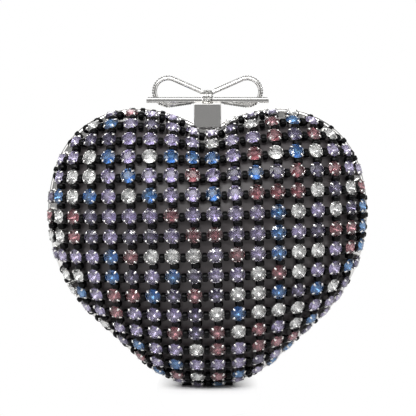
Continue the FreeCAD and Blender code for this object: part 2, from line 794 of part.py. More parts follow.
def touch_point(start, turn):
    """Where a straight line from a point meets the loop's end circle, above (1) or below (-1)."""
    away = BOW_END - start
    reach = math.hypot(away.x, away.z)
    lean = math.atan2(away.z, away.x) + turn * math.acos(BOW_END_RADIUS / reach) + math.pi
    lean = lean - 2 * turn * math.acos(BOW_END_RADIUS / reach)
    return BOW_END + Vector(math.cos(lean), 0, math.sin(lean)) * BOW_END_RADIUS


def loop_path():
    """Right loop's line: out from the knot, round the end and back."""
    high = Vector(0, BOW_SET_BACK, KNOT_CENTRE.z + LOOP_TOP_RISE)
    low = Vector(0, BOW_SET_BACK, KNOT_CENTRE.z - LOOP_LOW_DROP)
    upper, lower = touch_point(high, 1), touch_point(low, -1)
    outer = (upper - BOW_END) + (lower - BOW_END)
    far = BOW_END - outer.normalize() * BOW_END_RADIUS
    return [Part.makeLine(high, upper), Part.Arc(upper, far, lower).toShape(), Part.makeLine(lower, low)]


def mirrored(shape):
    """Left-hand twin of a right-hand shape."""
    return shape.mirror(Vector(0, 0, 0), X_AXIS)


def bow_loop():
    """Right loop of round wire, ending at the knot."""
    path = loop_path()
    start = path[0].Vertexes[0].Point
    ring = Part.Wire(Part.makeCircle(BOW_WIRE_RADIUS, start, path[0].Vertexes[1].Point - start))
    wire = Part.Wire(path).makePipeShell([ring], True, False)
    return wire.cut(middle_box(KNOT_WIDTH, CAP_WIDTH, CAP_TOP_Z, BOW_END.z + BOW_END_RADIUS))


def bow_tail():
    """Right tail: a straight bar from the knot to its cut end."""
    start = KNOT_WIDTH / 2
    corner = Vector(start, -TAIL_SET_FORWARD - TAIL_DEPTH / 2, KNOT_CENTRE.z - TAIL_DROP - TAIL_HEIGHT / 2)
    bar = Part.makeBox(TAIL_REACH - start, TAIL_DEPTH, TAIL_HEIGHT, corner)
    return bar.makeFillet(TAIL_ROUND, [e for e in bar.Edges if e.BoundBox.XLength > TAIL_DEPTH + TAIL_HEIGHT])


def crystal_at(foot, up):
    """Small faceted crystal standing on a foot point."""
    low = ring_of(CRYSTAL_RADIUS, 0, CRYSTAL_SIDES, 0)
    high = ring_of(CRYSTAL_TABLE_RADIUS, CRYSTAL_HEIGHT, CRYSTAL_SIDES, 0)
    solid = faceted([low, high], None)
    solid.Placement = FreeCAD.Placement(foot, FreeCAD.Rotation(Z_AXIS, up))
    return solid


def loop_crystals():
    """Crystals along the outer front of the right loop."""
    lean = math.radians(CRYSTAL_LEAN_DEG)
    crystals = []
    path = Part.Wire(loop_path())
    spots = path.discretize(Distance=CRYSTAL_PITCH)
    for before, here, after in zip(spots, spots[1:], spots[2:]):
        ahead = (after - before).normalize()
        out = ahead.cross(Y_AXIS)
        up = out * math.cos(lean) - Y_AXIS * math.sin(lean)
        foot = here + up * (BOW_WIRE_RADIUS + CRYSTAL_GAP)
        above_cap = foot.z > CAP_TOP_Z + 2 * CRYSTAL_RADIUS
        beside_cap = foot.x > CAP_WIDTH / 2 + 2 * CRYSTAL_RADIUS
        if here.x > KNOT_WIDTH / 2 + 2 * CRYSTAL_RADIUS and (above_cap or beside_cap):
            crystals.append(crystal_at(foot, up))
    return crystals


def tail_crystals():
    """Crystals along the top of the right tail."""
    top_z = KNOT_CENTRE.z - TAIL_DROP + TAIL_HEIGHT / 2 + CRYSTAL_GAP
    start = KNOT_WIDTH / 2 + 2 * CRYSTAL_RADIUS
    count = int((TAIL_REACH - CRYSTAL_RADIUS - start) / CRYSTAL_PITCH)
    spots = [Vector(start + k * CRYSTAL_PITCH, -TAIL_SET_FORWARD, top_z) for k in range(count + 1)]
    return [crystal_at(spot, Z_AXIS) for spot in spots]


def knot_crystals():
    """Rows of crystals round the knot, square to its bulge and clear of the cap."""
    crystals = []
    bulge = KNOT_RADIUS - KNOT_END_RADIUS
    arc_radius = ((KNOT_WIDTH / 2) ** 2 + bulge ** 2) / (2 * bulge)
    ring_count = int(2 * math.pi * KNOT_RADIUS / CRYSTAL_PITCH)
    for row in range(KNOT_CRYSTAL_ROWS):
        lean = math.asin((row - (KNOT_CRYSTAL_ROWS - 1) / 2) * CRYSTAL_PITCH / arc_radius)
        for k in range(ring_count):
            turn = (k + row / 2) * 2 * math.pi / ring_count
            radial = Vector(0, math.sin(turn), math.cos(turn))
            up = radial * math.cos(lean) + X_AXIS * math.sin(lean)
            foot = KNOT_CENTRE + radial * (KNOT_RADIUS - arc_radius) + up * (arc_radius + CRYSTAL_GAP)
            if foot.z > CAP_TOP_Z + 2 * CRYSTAL_RADIUS:
                crystals.append(crystal_at(foot, up))
    return crystals


# Assembly

def save(node, solids):
    """Write one node."""
    Part.makeCompound(solids).exportStep("parts/" + node + ".step")


def to_rear(shape):
    """Rear twin of a front shape."""
    return shape.mirror(Vector(0, 0, 0), Y_AXIS)


def save_halves():
    """Shells, covers, linings and frames of both halves."""
    inside = SATIN_THICK + GLUE_GAP
    lining = inside + SHELL_THICK + GLUE_GAP
    for node, shape in (
        ("satin_cover", layer(0, SATIN_THICK)),
        ("shell", layer(inside, SHELL_THICK)),
        ("lining", layer(lining, LINING_THICK)),
        ("frame", frame_ring()),
    ):
        save("front_" + node, [shape])
        save("rear_" + node, [to_rear(shape)])


def save_hinge():
    """Leaves and pin of the hinge."""
    front = [k for k in range(HINGE_KNUCKLES) if k % 2 == 1]
    rear = [k for k in range(HINGE_KNUCKLES) if k % 2 == 0]
    save("front_hinge_leaf", [hinge_leaf(front, RUNNING_CLEARANCE)])
    save("rear_hinge_leaf", [to_rear(hinge_leaf(rear, FIXED_CLEARANCE))])
    save("hinge_pin", [hinge_pin()])


def save_clasp():
    """Clasp and bow."""
    save("clasp_cap", [clasp_cap()])
    save("clasp_bracket", [clasp_bracket()])
    save("clasp_pin", [clasp_pin()])
    save("catch_spring", [catch_spring()])
    save("bow_knot", [bow_knot()])
    loop, tail = bow_loop(), bow_tail()
    save("bow_right_loop", [loop])
    save("bow_left_loop", [mirrored(loop)])
    save("bow_right_tail", [tail])
    save("bow_left_tail", [mirrored(tail)])
    right = loop_crystals()
    save("bow_loop_crystals", right + [mirrored(c) for c in right])
    right = tail_crystals()
    save("bow_tail_crystals", right + [mirrored(c) for c in right])
    save("bow_knot_crystals", knot_crystals())


os.makedirs("parts", exist_ok=True)
save_halves()
save_hinge()
save_clasp()
save_net("front", -1, FRONT_COLOUR_SEED)
save_net("rear", 1, REAR_COLOUR_SEED)
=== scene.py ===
"""Looks of the heart-shaped evening purse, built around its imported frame."""

import logging
import math
from collections.abc import Callable, Iterable
from dataclasses import dataclass
from enum import Enum

import bmesh
import bpy
import numpy as np
from bpy.types import Material, Node, NodeSocket, Object, World
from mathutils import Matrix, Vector
from mathutils.bvhtree import BVHTree
from mathutils.kdtree import KDTree


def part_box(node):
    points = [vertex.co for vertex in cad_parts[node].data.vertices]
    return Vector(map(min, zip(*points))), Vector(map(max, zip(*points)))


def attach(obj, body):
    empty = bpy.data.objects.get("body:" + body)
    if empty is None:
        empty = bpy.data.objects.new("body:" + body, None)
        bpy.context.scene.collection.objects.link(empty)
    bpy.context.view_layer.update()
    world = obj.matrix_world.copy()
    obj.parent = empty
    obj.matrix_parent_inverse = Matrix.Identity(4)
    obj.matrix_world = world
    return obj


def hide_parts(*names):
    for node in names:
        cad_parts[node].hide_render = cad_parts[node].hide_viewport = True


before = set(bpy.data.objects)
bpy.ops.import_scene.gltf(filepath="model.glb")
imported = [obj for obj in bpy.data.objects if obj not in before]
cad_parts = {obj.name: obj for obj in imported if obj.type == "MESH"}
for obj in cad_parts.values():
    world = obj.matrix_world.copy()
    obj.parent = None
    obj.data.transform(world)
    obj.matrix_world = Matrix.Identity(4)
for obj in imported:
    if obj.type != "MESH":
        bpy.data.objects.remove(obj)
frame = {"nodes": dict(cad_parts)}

LOG = logging.getLogger("heart_purse")
WELD = 1e-6
RNG_SEED = 41
# Face attributes of the painted sparkle on stones and crystals: a random light or dark tone per
# facet, and a raised lowest tone that paints the outer pavilion facets lighter as a painted
# highlight.
FACET_PAINTED_HIGHLIGHT = "facet_painted_highlight"
FACET_PAINTED_SPARKLE = "facet_painted_sparkle"
FACING_UP = 0.9
LEVEL = 0.99
PRONG_COUNT = 4
CREASE_DEG = 50.0
ROUND_DEG = 60.0
WHITE = (1.0, 1.0, 1.0, 1.0)

Colour = tuple[float, float, float]
Point = tuple[float, float, float]
Value = "Sock | float"


class Side(Enum):
    """The two halves of the purse."""

    FRONT = "front"
    REAR = "rear"

    @property
    def outward(self) -> float:
        """Sign of the outward Y direction."""
        return -1.0 if self is Side.FRONT else 1.0


class StoneColour(Enum):
    """Colours of the set stones, by the name of their nodes."""

    LAVENDER = "lavender"
    TANZANITE = "tanzanite"
    CLEAR = "clear"
    BLUE = "blue"
    ROSE = "rose"


# Shader writing

class Sock:
    """A shader output that takes part in Python arithmetic."""

    def __init__(self, paint: "Paint", socket: NodeSocket) -> None:
        """Wraps one output socket of a paint's node tree."""
        self.paint = paint
        self.socket = socket

    def __add__(self, other: Value) -> "Sock":
        """Sum."""
        return self.paint.maths("ADD", self, other)

    __radd__ = __add__

    def __sub__(self, other: Value) -> "Sock":
        """Difference."""
        return self.paint.maths("SUBTRACT", self, other)

    def __rsub__(self, other: Value) -> "Sock":
        """Difference from a number."""
        return self.paint.maths("SUBTRACT", other, self)

    def __mul__(self, other: Value) -> "Sock":
        """Product."""
        return self.paint.maths("MULTIPLY", self, other)

    __rmul__ = __mul__

    def __pow__(self, other: Value) -> "Sock":
        """Power."""
        return self.paint.maths("POWER", self, other)


class Paint:
    """One node tree under construction, of a material or of the world."""

    def __init__(self, owner: Material | World) -> None:
        """Empties the owner's node tree."""
        owner.use_nodes = True
        self.owner = owner
        self.tree = owner.node_tree
        self.tree.nodes.clear()

    @classmethod
    def material(cls, name: str) -> "Paint":
        """A new material's tree."""
        return cls(bpy.data.materials.new(name))

    def add(
        self, kind: str, settings: dict | None = None, inputs: dict | None = None,
    ) -> Node:
        """Adds a node.

        Args:
            kind: the node's type.
            settings: its own properties, which are set first.
            inputs: numbers, colours or Socks for its input sockets.

        Returns:
            The node.
        """
        node = self.tree.nodes.new(kind)
        for name, value in (settings or {}).items():
            setattr(node, name, value)
        for name, value in (inputs or {}).items():
            if isinstance(value, Sock):
                self.tree.links.new(value.socket, node.inputs[name])
            else:
                node.inputs[name].default_value = value
        return node

    def out(self, node: Node, name: str | int = 0) -> Sock:
        """One output of a node."""
        return Sock(self, node.outputs[name])

    def maths(self, operation: str, first: Value, second: Value, clamp: bool = False) -> Sock:
        """A Math node on two values."""
        settings = {"operation": operation, "use_clamp": clamp}
        return self.out(self.add("ShaderNodeMath", settings, {0: first, 1: second}))

    def mix(self, share: Value, first: Sock | Colour, second: Sock | Colour) -> Sock:
        """A colour between two, by a share."""
        ends = [c if isinstance(c, Sock) else (*c, 1.0) for c in (first, second)]
        node = self.add("ShaderNodeMix", {"data_type": "RGBA"}, {0: share, 6: ends[0], 7: ends[1]})
        return self.out(node, 2)

    def place(self) -> Sock:
        """Object coordinates."""
        return self.out(self.add("ShaderNodeTexCoord"), "Object")

    def noise(self, scale: float, stretch: Point = (1.0, 1.0, 1.0), detail: float = 2.0) -> Sock:
        """Noise from 0 to 1.

        Args:
            scale: waves per metre.
            stretch: factor on each axis.
            detail: octaves.

        Returns:
            The noise value.
        """
        mapping = self.add("ShaderNodeMapping", None, {"Vector": self.place(), "Scale": stretch})
        inputs = {"Vector": self.out(mapping), "Scale": scale, "Detail": detail}
        return self.out(self.add("ShaderNodeTexNoise", None, inputs), 0)

    def wave(self, scale: float, axis: str, waver: float, waver_scale: float = 1.5) -> Sock:
        """Sine bands across one axis, from 0 to 1, that waver a little."""
        settings = {"wave_type": "BANDS", "bands_direction": axis, "wave_profile": "SIN"}
        inputs = {"Vector": self.place(), "Scale": scale, "Distortion": waver}
        node = self.add("ShaderNodeTexWave", settings, {**inputs, "Detail Scale": waver_scale})
        return self.out(node, 1)

    def attribute(self, name: str) -> Sock:
        """A number that the mesh keeps for each of its faces."""
        return self.out(self.add("ShaderNodeAttribute", {"attribute_name": name}), "Fac")

    def bump(self, height: Sock, depth: float, strength: float = 1.0) -> Sock:
        """Normal that follows a height field of a real depth."""
        inputs = {"Height": height, "Distance": depth, "Strength": strength}
        return self.out(self.add("ShaderNodeBump", None, inputs))

    def blend(self, share: Sock, first: Node, second: Node) -> Node:
        """One shader fading into another, by a share."""
        inputs = {0: share, 1: self.out(first), 2: self.out(second)}
        return self.add("ShaderNodeMixShader", None, inputs)

    def surface(self, inputs: dict) -> Material:
        """Finishes a material with one Principled shader.

        Args:
            inputs: its sockets' values and links.

        Returns:
            The material.
        """
        shader = self.add("ShaderNodeBsdfPrincipled", None, inputs)
        self.add("ShaderNodeOutputMaterial", None, {"Surface": self.out(shader)})
        return self.owner


# Finishes

@dataclass(frozen=True)
class SilverFinish:
    """Plated metal with fine wiping marks and a little tarnish."""

    name: str
    bright: Colour = (0.90, 0.89, 0.87)
    dull: Colour = (0.62, 0.61, 0.60)
    roughness: float = 0.07
    wear: float = 0.12
    cloud_scale: float = 75.0
    cloud_contrast: float = 3.0
    mark_scale: float = 900.0
    mark_stretch: Point = (1.0, 1.0, 6.0)
    mark_depth: float = 2e-6

    def material(self) -> Material:
        """Makes the material."""
        paint = Paint.material(self.name)
        cloud = paint.noise(self.cloud_scale, detail=4.0)
        marks = paint.noise(self.mark_scale, self.mark_stretch, detail=3.0)
        return paint.surface({
            "Base Color": paint.mix(cloud ** self.cloud_contrast, self.bright, self.dull),
            "Metallic": 1.0,
            "Roughness": cloud * self.wear + self.roughness,
            "Normal": paint.bump(marks, self.mark_depth),
        })


@dataclass(frozen=True)
class StoneFinish:
    """Cut glass with a mirror foil behind it."""

    colour: StoneColour
    glass: Colour
    # foil and shade: light and dark ends of the painted sparkle that each pavilion facet takes at
    # random.
    foil: Colour
    shade: Colour
    refraction: float = 1.56
    glare: float = 0.28
    polish: float = 0.005
    haze: float = 0.03
    dust_gain: float = 1.06
    dust_scale: float = 700.0
    foil_scale: float = 2100.0
    foil_roughness: float = 0.19
    foil_grain: float = 0.10

    def glass_material(self) -> Material:
        """Clear tinted glass of the crown, slightly dusty."""
        paint = Paint.material(f"stone_{self.colour.value}_glass")
        dust = paint.noise(self.dust_scale, detail=3.0)
        pale = tuple(min(1.0, part * self.dust_gain) for part in self.glass)
        return paint.surface({
            "Base Color": paint.mix(dust, self.glass, pale),
            "Roughness": dust * self.haze + self.polish,
            "IOR": self.refraction,
            "Specular IOR Level": self.glare,
            "Transmission Weight": 1.0,
        })

    def foil_material(self) -> Material:
        """Mirror foil of the pavilion, each facet painted lighter or darker at random between the
        shade and foil colours: painted sparkle, with the outer facets painted lighter as a painted
        highlight.
        """
        paint = Paint.material(f"stone_{self.colour.value}_foil")
        tone = paint.attribute(FACET_PAINTED_SPARKLE)
        grain = paint.noise(self.foil_scale)
        return paint.surface({
            "Base Color": paint.mix(tone, self.shade, self.foil),
            "Metallic": 1.0,
            "Roughness": grain * self.foil_grain + self.foil_roughness,
        })


@dataclass(frozen=True)
class BeadFinish:
    """Black pressed glass."""

    name: str = "black_glass_bead"
    black: Colour = (0.0006, 0.0006, 0.0006)
    smoke: Colour = (0.0025, 0.0025, 0.003)
    refraction: float = 1.56
    glare: float = 0.11
    polish: float = 0.03
    haze: float = 0.05
    swirl_scale: float = 420.0
    swirl_depth: float = 3e-6

    def material(self) -> Material:
        """Makes the material."""
        paint = Paint.material(self.name)
        swirl = paint.noise(self.swirl_scale, detail=3.0)
        return paint.surface({
            "Base Color": paint.mix(swirl, self.black, self.smoke),
            "Roughness": swirl * self.haze + self.polish,
            "IOR": self.refraction,
            "Specular IOR Level": self.glare,
            "Normal": paint.bump(swirl, self.swirl_depth),
        })


@dataclass(frozen=True)
class SatinFinish:
    """Satin cloth: long floats one way, fine picks the other, soft slubs."""

    name: str
    light: Colour
    dark: Colour
    float_scale: float = 1300.0
    float_waver: float = 1.2
    pick_scale: float = 325.0
    pick_waver: float = 2.0
    float_share: float = 0.7
    slub_scale: float = 90.0
    slub_stretch: Point = (0.35, 1.0, 4.0)
    slub_share: float = 0.7
    roughness: float = 0.42
    roughness_spread: float = 0.22
    sheen: float = 0.35
    sheen_roughness: float = 0.35
    sheen_tint: Colour = (0.62, 0.58, 0.60)
    anisotropy: float = 0.55
    weave_depth: float = 2e-5
    weave_strength: float = 0.6

    def material(self) -> Material:
        """Makes the material."""
        paint = Paint.material(self.name)
        slub = paint.noise(self.slub_scale, self.slub_stretch, detail=3.0)
        floats = paint.wave(self.float_scale, "Z", self.float_waver)
        picks = paint.wave(self.pick_scale, "X", self.pick_waver)
        weave = floats * self.float_share + picks * (1 - self.float_share)
        tone = slub * self.slub_share + weave * (1 - self.slub_share)
        return paint.surface({
            "Base Color": paint.mix(tone, self.dark, self.light),
            "Roughness": self.roughness + (slub - 0.5) * self.roughness_spread,
            "Sheen Weight": self.sheen,
            "Sheen Roughness": self.sheen_roughness,
            "Sheen Tint": (*self.sheen_tint, 1.0),
            "Anisotropic": self.anisotropy,
            "Normal": paint.bump(weave + slub, self.weave_depth, self.weave_strength),
        })


@dataclass(frozen=True)
class ThreadFinish:
    """Twisted black nylon."""

    name: str = "twisted_thread"
    dark: Colour = (0.006, 0.006, 0.007)
    light: Colour = (0.035, 0.033, 0.035)
    roughness: float = 0.4
    roughness_spread: float = 0.2
    twist_scale: float = 1500.0
    twist_waver: float = 0.5
    twist_depth: float = 3e-5

    def material(self) -> Material:
        """Makes the material."""
        paint = Paint.material(self.name)
        twist = paint.wave(self.twist_scale, "DIAGONAL", self.twist_waver)
        return paint.surface({
            "Base Color": paint.mix(twist, self.dark, self.light),
            "Roughness": twist * self.roughness_spread + self.roughness,
            "Normal": paint.bump(twist, self.twist_depth),
        })


@dataclass(frozen=True)
class ResinFinish:
    """Moulded resin of the hidden shells."""

    name: str = "moulded_resin"
    dark: Colour = (0.020, 0.019, 0.020)
    light: Colour = (0.036, 0.034, 0.035)
    roughness: float = 0.45
    roughness_spread: float = 0.2
    grain_scale: float = 800.0
    grain_depth: float = 2e-5

    def material(self) -> Material:
        """Makes the material."""
        paint = Paint.material(self.name)
        grain = paint.noise(self.grain_scale, detail=4.0)
        return paint.surface({
            "Base Color": paint.mix(grain, self.dark, self.light),
            "Roughness": grain * self.roughness_spread + self.roughness,
            "Normal": paint.bump(grain, self.grain_depth),
        })


@dataclass(frozen=True)
class CrystalFinish:
    """Small foiled crystals, each facet painted lighter or darker at random: painted glints and
    dark facets.
    """

    name: str = "pave_crystal"
    bright: Colour = (0.86, 0.86, 0.83)
    shade: Colour = (0.22, 0.22, 0.21)
    contrast: float = 2.0
    metal: float = 0.9
    polish: float = 0.04
    haze: float = 0.1
    grain_scale: float = 2500.0

    def material(self) -> Material:
        """Makes the material."""
        paint = Paint.material(self.name)
        tone = paint.attribute(FACET_PAINTED_SPARKLE)
        grain = paint.noise(self.grain_scale)
        return paint.surface({
            # Painted sparkle: the facet tone, raised to a power, mixes the shade and bright
            # colours.
            "Base Color": paint.mix(tone ** self.contrast, self.shade, self.bright),
            "Metallic": self.metal,
            "Roughness": grain * self.haze + self.polish,
        })


# Reading the frame

@dataclass(frozen=True)
class Spot:
    """Place of one repeated piece."""

    centre: np.ndarray
    axis: np.ndarray
    across: np.ndarray

    def turn(self) -> np.ndarray:
        """Rotation whose columns are the piece's own X, Y and Z."""
        return np.column_stack([self.across, np.cross(self.axis, self.across), self.axis])


class FrameReader:
    """Finds the places of repeated pieces in the frame's nodes."""

    rim_share = 0.97

    def __init__(self, nodes: dict[str, Object]) -> None:
        """Keeps the nodes by name."""
        self.nodes = nodes

    def points(self, node: str) -> np.ndarray:
        """All corners of a node."""
        mesh = self.nodes[node].data
        flat = np.empty(len(mesh.vertices) * 3, np.float32)
        mesh.vertices.foreach_get("co", flat)
        return flat.reshape(-1, 3).astype(float)

    def islands(self, node: str) -> list[np.ndarray]:
        """Corners of each separate solid in a node.

        Args:
            node: the node's name.

        Returns:
            One array of points per solid.
        """
        mesh = self.nodes[node].data
        grid = np.round(self.points(node) / WELD)
        corners, welded = np.unique(grid, axis=0, return_inverse=True)
        loops = np.empty(len(mesh.loops), np.int32)
        mesh.loops.foreach_get("vertex_index", loops)
        triangles = welded.ravel()[loops].reshape(-1, 3)
        label = np.arange(len(corners))
        while True:
            before = label.copy()
            lowest = label[triangles].min(axis=1)
            for k in range(3):
                np.minimum.at(label, triangles[:, k], lowest)
            label = label[label]
            if np.array_equal(label, before):
                break
        order = np.argsort(label, kind="stable")
        cuts = np.flatnonzero(np.diff(label[order])) + 1
        return [corners[group] * WELD for group in np.split(order, cuts)]

    def spots(self, node: str) -> list[Spot]:
        """Places of the turned solids in a node.

        Args:
            node: the node's name.

        Returns:
            One spot per solid: the axis points from its wide side to its narrow one.
        """
        return [self.spot_of(points) for points in self.islands(node)]

    def spot_of(self, points: np.ndarray) -> Spot:
        """Place of one turned solid, from its corners."""
        middle = points.mean(axis=0)
        spread, directions = np.linalg.eigh(np.cov((points - middle).T))
        flat = spread[1] - spread[0] > spread[2] - spread[1]
        axis = directions[:, 0 if flat else 2]
        height = (points - middle) @ axis
        radial = (points - middle) - np.outer(height, axis)
        reach = np.linalg.norm(radial, axis=1)
        if (height * reach ** 2).sum() > 0:
            axis = -axis
        rim = reach > self.rim_share * reach.max()
        across = radial[np.argmax(reach)]
        centre = points[rim].mean(axis=0)
        return Spot(centre, axis, across / np.linalg.norm(across))

    def prong_turned(
        self, stones: list[Spot], nodes: Iterable[str], reach: float, lift: float,
    ) -> list[Spot]:
        """Turns each stone's spot so that its X axis points at a prong.

        Args:
            stones: the stones' spots.
            nodes: the nodes that hold the prongs.
            reach: how far from the stone's axis its prong tips are at most.
            lift: height above the girdle that only the tips reach.

        Returns:
            The turned spots.
        """
        cloud = np.vstack([self.points(node) for node in nodes])
        tree = KDTree(len(cloud))
        for index, point in enumerate(cloud):
            tree.insert(point, index)
        tree.balance()
        turned = []
        for stone in stones:
            hits = tree.find_range(stone.centre, reach + lift)
            near = np.array([hit[0] for hit in hits]) - stone.centre
            near = near[(near @ stone.axis) > lift]
            side = np.cross(stone.axis, stone.across)
            angle = np.arctan2(near @ side, near @ stone.across)
            phase = np.angle(np.exp(1j * PRONG_COUNT * angle).mean()) / PRONG_COUNT
            across = math.cos(phase) * stone.across + math.sin(phase) * side
            turned.append(Spot(stone.centre, stone.axis, across))
        return turned


# Modelling helpers

def start(name: str) -> Object:
    """Names the primitive that was just added.

    Args:
        name: the piece's name.

    Returns:
        The object, in object mode.
    """
    piece = bpy.context.active_object
    piece.name = name
    piece.data.name = name
    return piece


def focus(piece: Object) -> None:
    """Selects one piece alone and makes it active."""
    bpy.ops.object.select_all(action="DESELECT")
    piece.select_set(True)
    bpy.context.view_layer.objects.active = piece


def edit(piece: Object, select: str = "DESELECT") -> None:
    """Opens a piece in edit mode with nothing, or everything, selected."""
    focus(piece)
    bpy.ops.object.mode_set(mode="EDIT")
    bpy.ops.mesh.select_all(action=select)


def close() -> None:
    """Goes back to object mode with the active piece at the origin, unturned."""
    bpy.ops.object.mode_set(mode="OBJECT")
    bpy.ops.object.transform_apply(location=True, rotation=True, scale=True)


def cylinder(name: str, sides: int, radius: float, depth: float, place: Vector | Point) -> Object:
    """Adds a cylinder round its middle, as the start of a piece."""
    bpy.ops.mesh.primitive_cylinder_add(vertices=sides, radius=radius, depth=depth, location=place)
    piece = start(name)
    close()
    return piece


def pick_faces(piece: Object, test: Callable[[Vector], bool]) -> None:
    """Selects the faces whose normal passes a test."""
    bpy.ops.mesh.select_all(action="DESELECT")
    bpy.ops.mesh.select_mode(type="FACE")
    mesh = bmesh.from_edit_mesh(piece.data)
    for face in mesh.faces:
        face.select_set(test(face.normal))
    bmesh.update_edit_mesh(piece.data)


def edit_top(piece: Object) -> None:
    """Opens a piece in edit mode with its top faces selected."""
    edit(piece)
    pick_faces(piece, lambda normal: normal.z > FACING_UP)


def smooth(piece: Object, angle_deg: float) -> None:
    """Shades a piece smooth, with edges sharper than the angle kept."""
    focus(piece)
    bpy.ops.object.shade_smooth_by_angle(angle=math.radians(angle_deg))


def extrude(way: Vector | Point) -> None:
    """Extrudes the selected faces along a way."""
    bpy.ops.mesh.extrude_region_move(TRANSFORM_OT_translate={"value": way})


def stamp(
    name: str, model: Object, spots: list[Spot],
    tones: np.random.Generator | None = None,
) -> Object:
    """Copies a model to many places as one piece.

    Args:
        name: the piece's name.
        model: the shape, modelled round its own Z axis.
        spots: where the copies go.
        tones: source of the random facet tones of the painted sparkle, where the finish reads them.

    Returns:
        The new object.
    """
    mesh = model.data
    flat = np.empty(len(mesh.vertices) * 3, np.float32)
    mesh.vertices.foreach_get("co", flat)
    shape = flat.reshape(-1, 3).astype(float)
    faces = [list(polygon.vertices) for polygon in mesh.polygons]
    slots = [polygon.material_index for polygon in mesh.polygons]
    corners = np.vstack([shape @ spot.turn().T + spot.centre for spot in spots])
    firsts = [k * len(shape) for k in range(len(spots))]
    all_faces = [[v + first for v in face] for first in firsts for face in faces]
    copy = bpy.data.meshes.new(name)
    copy.from_pydata(corners.tolist(), [], all_faces)
    copy.polygons.foreach_set("material_index", slots * len(spots))
    for material in mesh.materials:
        copy.materials.append(material)
    if tones is not None:
        # Painted sparkle: a random tone per face, raised on the outer facets to their
        # painted-highlight floor.
        lift = np.zeros(len(faces), np.float32)
        if FACET_PAINTED_HIGHLIGHT in mesh.attributes:
            mesh.attributes[FACET_PAINTED_HIGHLIGHT].data.foreach_get("value", lift)
        low = np.tile(lift, len(spots))
        values = (low + (1 - low) * tones.random(len(all_faces))).astype(np.float32)
        copy.attributes.new(FACET_PAINTED_SPARKLE, "FLOAT", "FACE").data.foreach_set("value", values)
    copy.update()
    piece = bpy.data.objects.new(name, copy)
    bpy.context.scene.collection.objects.link(piece)
    return piece


def hand_over(piece: Object, body: str, slot: str, *nodes: str) -> None:
    """Gives a finished piece to the frame.

    Args:
        piece: the object.
        body: the body that it moves with.
        slot: the material slot's name; not used.
        nodes: the nodes that it stands for.
    """
    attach(piece, body)
    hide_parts(*nodes)
    LOG.info("%s: %d faces on %s", piece.name, len(piece.data.polygons), body)


def dress(
    nodes: dict[str, Object], names: Iterable[str], material: Material,
) -> None:
    """Gives frame nodes that stay a better material."""
    for name in names:
        data = nodes[name].data
        data.materials.clear()
        data.materials.append(material)
        LOG.info("%s keeps its shape in %s", name, material.name)


# Sub-assemblies

@dataclass
class CutStone:
    """Round stone with table, crown and foiled pavilion, girdle centre at the origin."""

    girdle_radius: float = 0.00345
    table_radius: float = 0.00185
    crown_height: float = 0.0011
    pavilion_depth: float = 0.0023
    girdle_band: float = 0.00012
    girdle_sides: int = 16
    mains: int = 8
    star_share: float = 0.55
    break_share: float = 0.62
    star_inset: float = 0.96
    break_inset: float = 0.985
    half_facet: float = 0.5
    foil_slope: float = -0.05
    # Lowest tone of the outer pavilion facets: a painted highlight on the stone's outer ring.
    outer_painted_highlight: float = 0.55

    def build(self, name: str) -> Object:
        """Cuts the stone from a round blank, plane by plane.

        Args:
            name: the model's name.

        Returns:
            The model, with the pavilion's faces in the second material slot.
        """
        height = self.crown_height + self.pavilion_depth
        middle = (self.crown_height - self.pavilion_depth) / 2
        stone = cylinder(name, self.girdle_sides, self.girdle_radius, height, (0, 0, middle))
        self.cut_crown(stone)
        self.cut_pavilion(stone)
        edge = self.girdle_radius * self.break_share
        # Outer facets keep a raised tone floor, a painted highlight; the finish paints random
        # sparkle on top.
        lift = stone.data.attributes.new(FACET_PAINTED_HIGHLIGHT, "FLOAT", "FACE")
        for polygon in stone.data.polygons:
            outer = polygon.center.xy.length > edge
            polygon.material_index = 1 if polygon.normal.z < self.foil_slope else 0
            lift.data[polygon.index].value = self.outer_painted_highlight if outer else 0.0
        return stone

    def cut_crown(self, stone: Object) -> None:
        """Cuts the bezel and star facets."""
        rim = (self.girdle_radius, self.girdle_band)
        table = (self.table_radius, self.crown_height)
        self.cut_ring(stone, rim, table, 0.0)
        corner = table[0] / math.cos(math.pi / self.mains)
        low_r = rim[0] + (corner - rim[0]) * self.star_share
        low_z = rim[1] + (table[1] - rim[1]) * self.star_share
        inner = (table[0] * self.star_inset, table[1])
        self.cut_ring(stone, (low_r, low_z), inner, self.half_facet)

    def cut_pavilion(self, stone: Object) -> None:
        """Cuts the main and break facets of the pavilion."""
        rim = (self.girdle_radius, -self.girdle_band)
        culet = (0.0, -self.pavilion_depth)
        fall = (culet[1] - rim[1]) * (1 - self.break_share)
        mid = (rim[0] * self.break_share, rim[1] + fall)
        self.cut_ring(stone, mid, culet, self.half_facet)
        self.cut_ring(stone, (rim[0] * self.break_inset, rim[1]), mid, 0.0)

    def cut_ring(
        self, stone: Object, wide: tuple[float, float], narrow: tuple[float, float],
        turn: float,
    ) -> None:
        """Cuts a ring of facets.

        Args:
            stone: the blank.
            wide: radius and height of the facets' wide end.
            narrow: radius and height of their narrow end.
            turn: share of a facet by which the ring is turned.
        """
        rise = narrow[1] - wide[1]
        run = wide[0] - narrow[0]
        for k in range(self.mains):
            angle = 2 * math.pi * (k + turn) / self.mains
            flat = Vector((math.cos(angle), math.sin(angle), 0.0))
            normal = flat * abs(rise) + Vector((0, 0, math.copysign(run, rise)))
            edit(stone, "SELECT")
            bpy.ops.mesh.bisect(
                plane_co=flat * wide[0] + Vector((0, 0, wide[1])), plane_no=normal.normalized(),
                use_fill=True, clear_outer=True)
            close()


